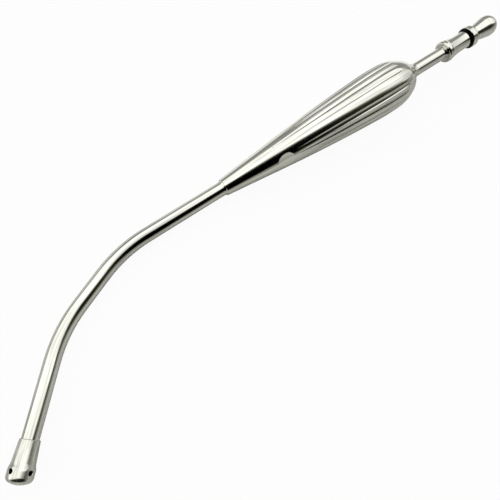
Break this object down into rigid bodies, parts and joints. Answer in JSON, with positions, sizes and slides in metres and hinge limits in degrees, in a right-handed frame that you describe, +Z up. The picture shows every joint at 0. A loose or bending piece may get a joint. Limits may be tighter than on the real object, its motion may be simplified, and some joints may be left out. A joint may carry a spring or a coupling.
{
  "type": "yankauer suction tip",
  "caption": "Rigid metal suction instrument: bent tube with a perforated bulb tip, hollow fluted handle and bulbous hose end.",
  "frame": {"origin": "centre of the bounding box on the floor that the instrument lies on", "axes": "+X runs over the handle's axis from the tip end to the hose end, +Z up from the floor, +Y to the side that the bend is turned away from"},
  "size_m": [0.2838, 0.0656, 0.0223],
  "materials": {
    "tube_steel": "finely brushed and polished",
    "tip_steel": "satin",
    "handle_steel": "polished over fine lengthwise grinding lines",
    "connector_steel": "turned and polished",
    "solder": "polished"
  },
  "bodies": {
    "root": {"suction_tube": "tube_steel", "bulb_tip": "tip_steel", "handle_shell": "handle_steel", "hose_connector": "connector_steel", "front_solder_fillet": "solder", "rear_solder_fillet": "solder"}
  },
  "joints": []
}
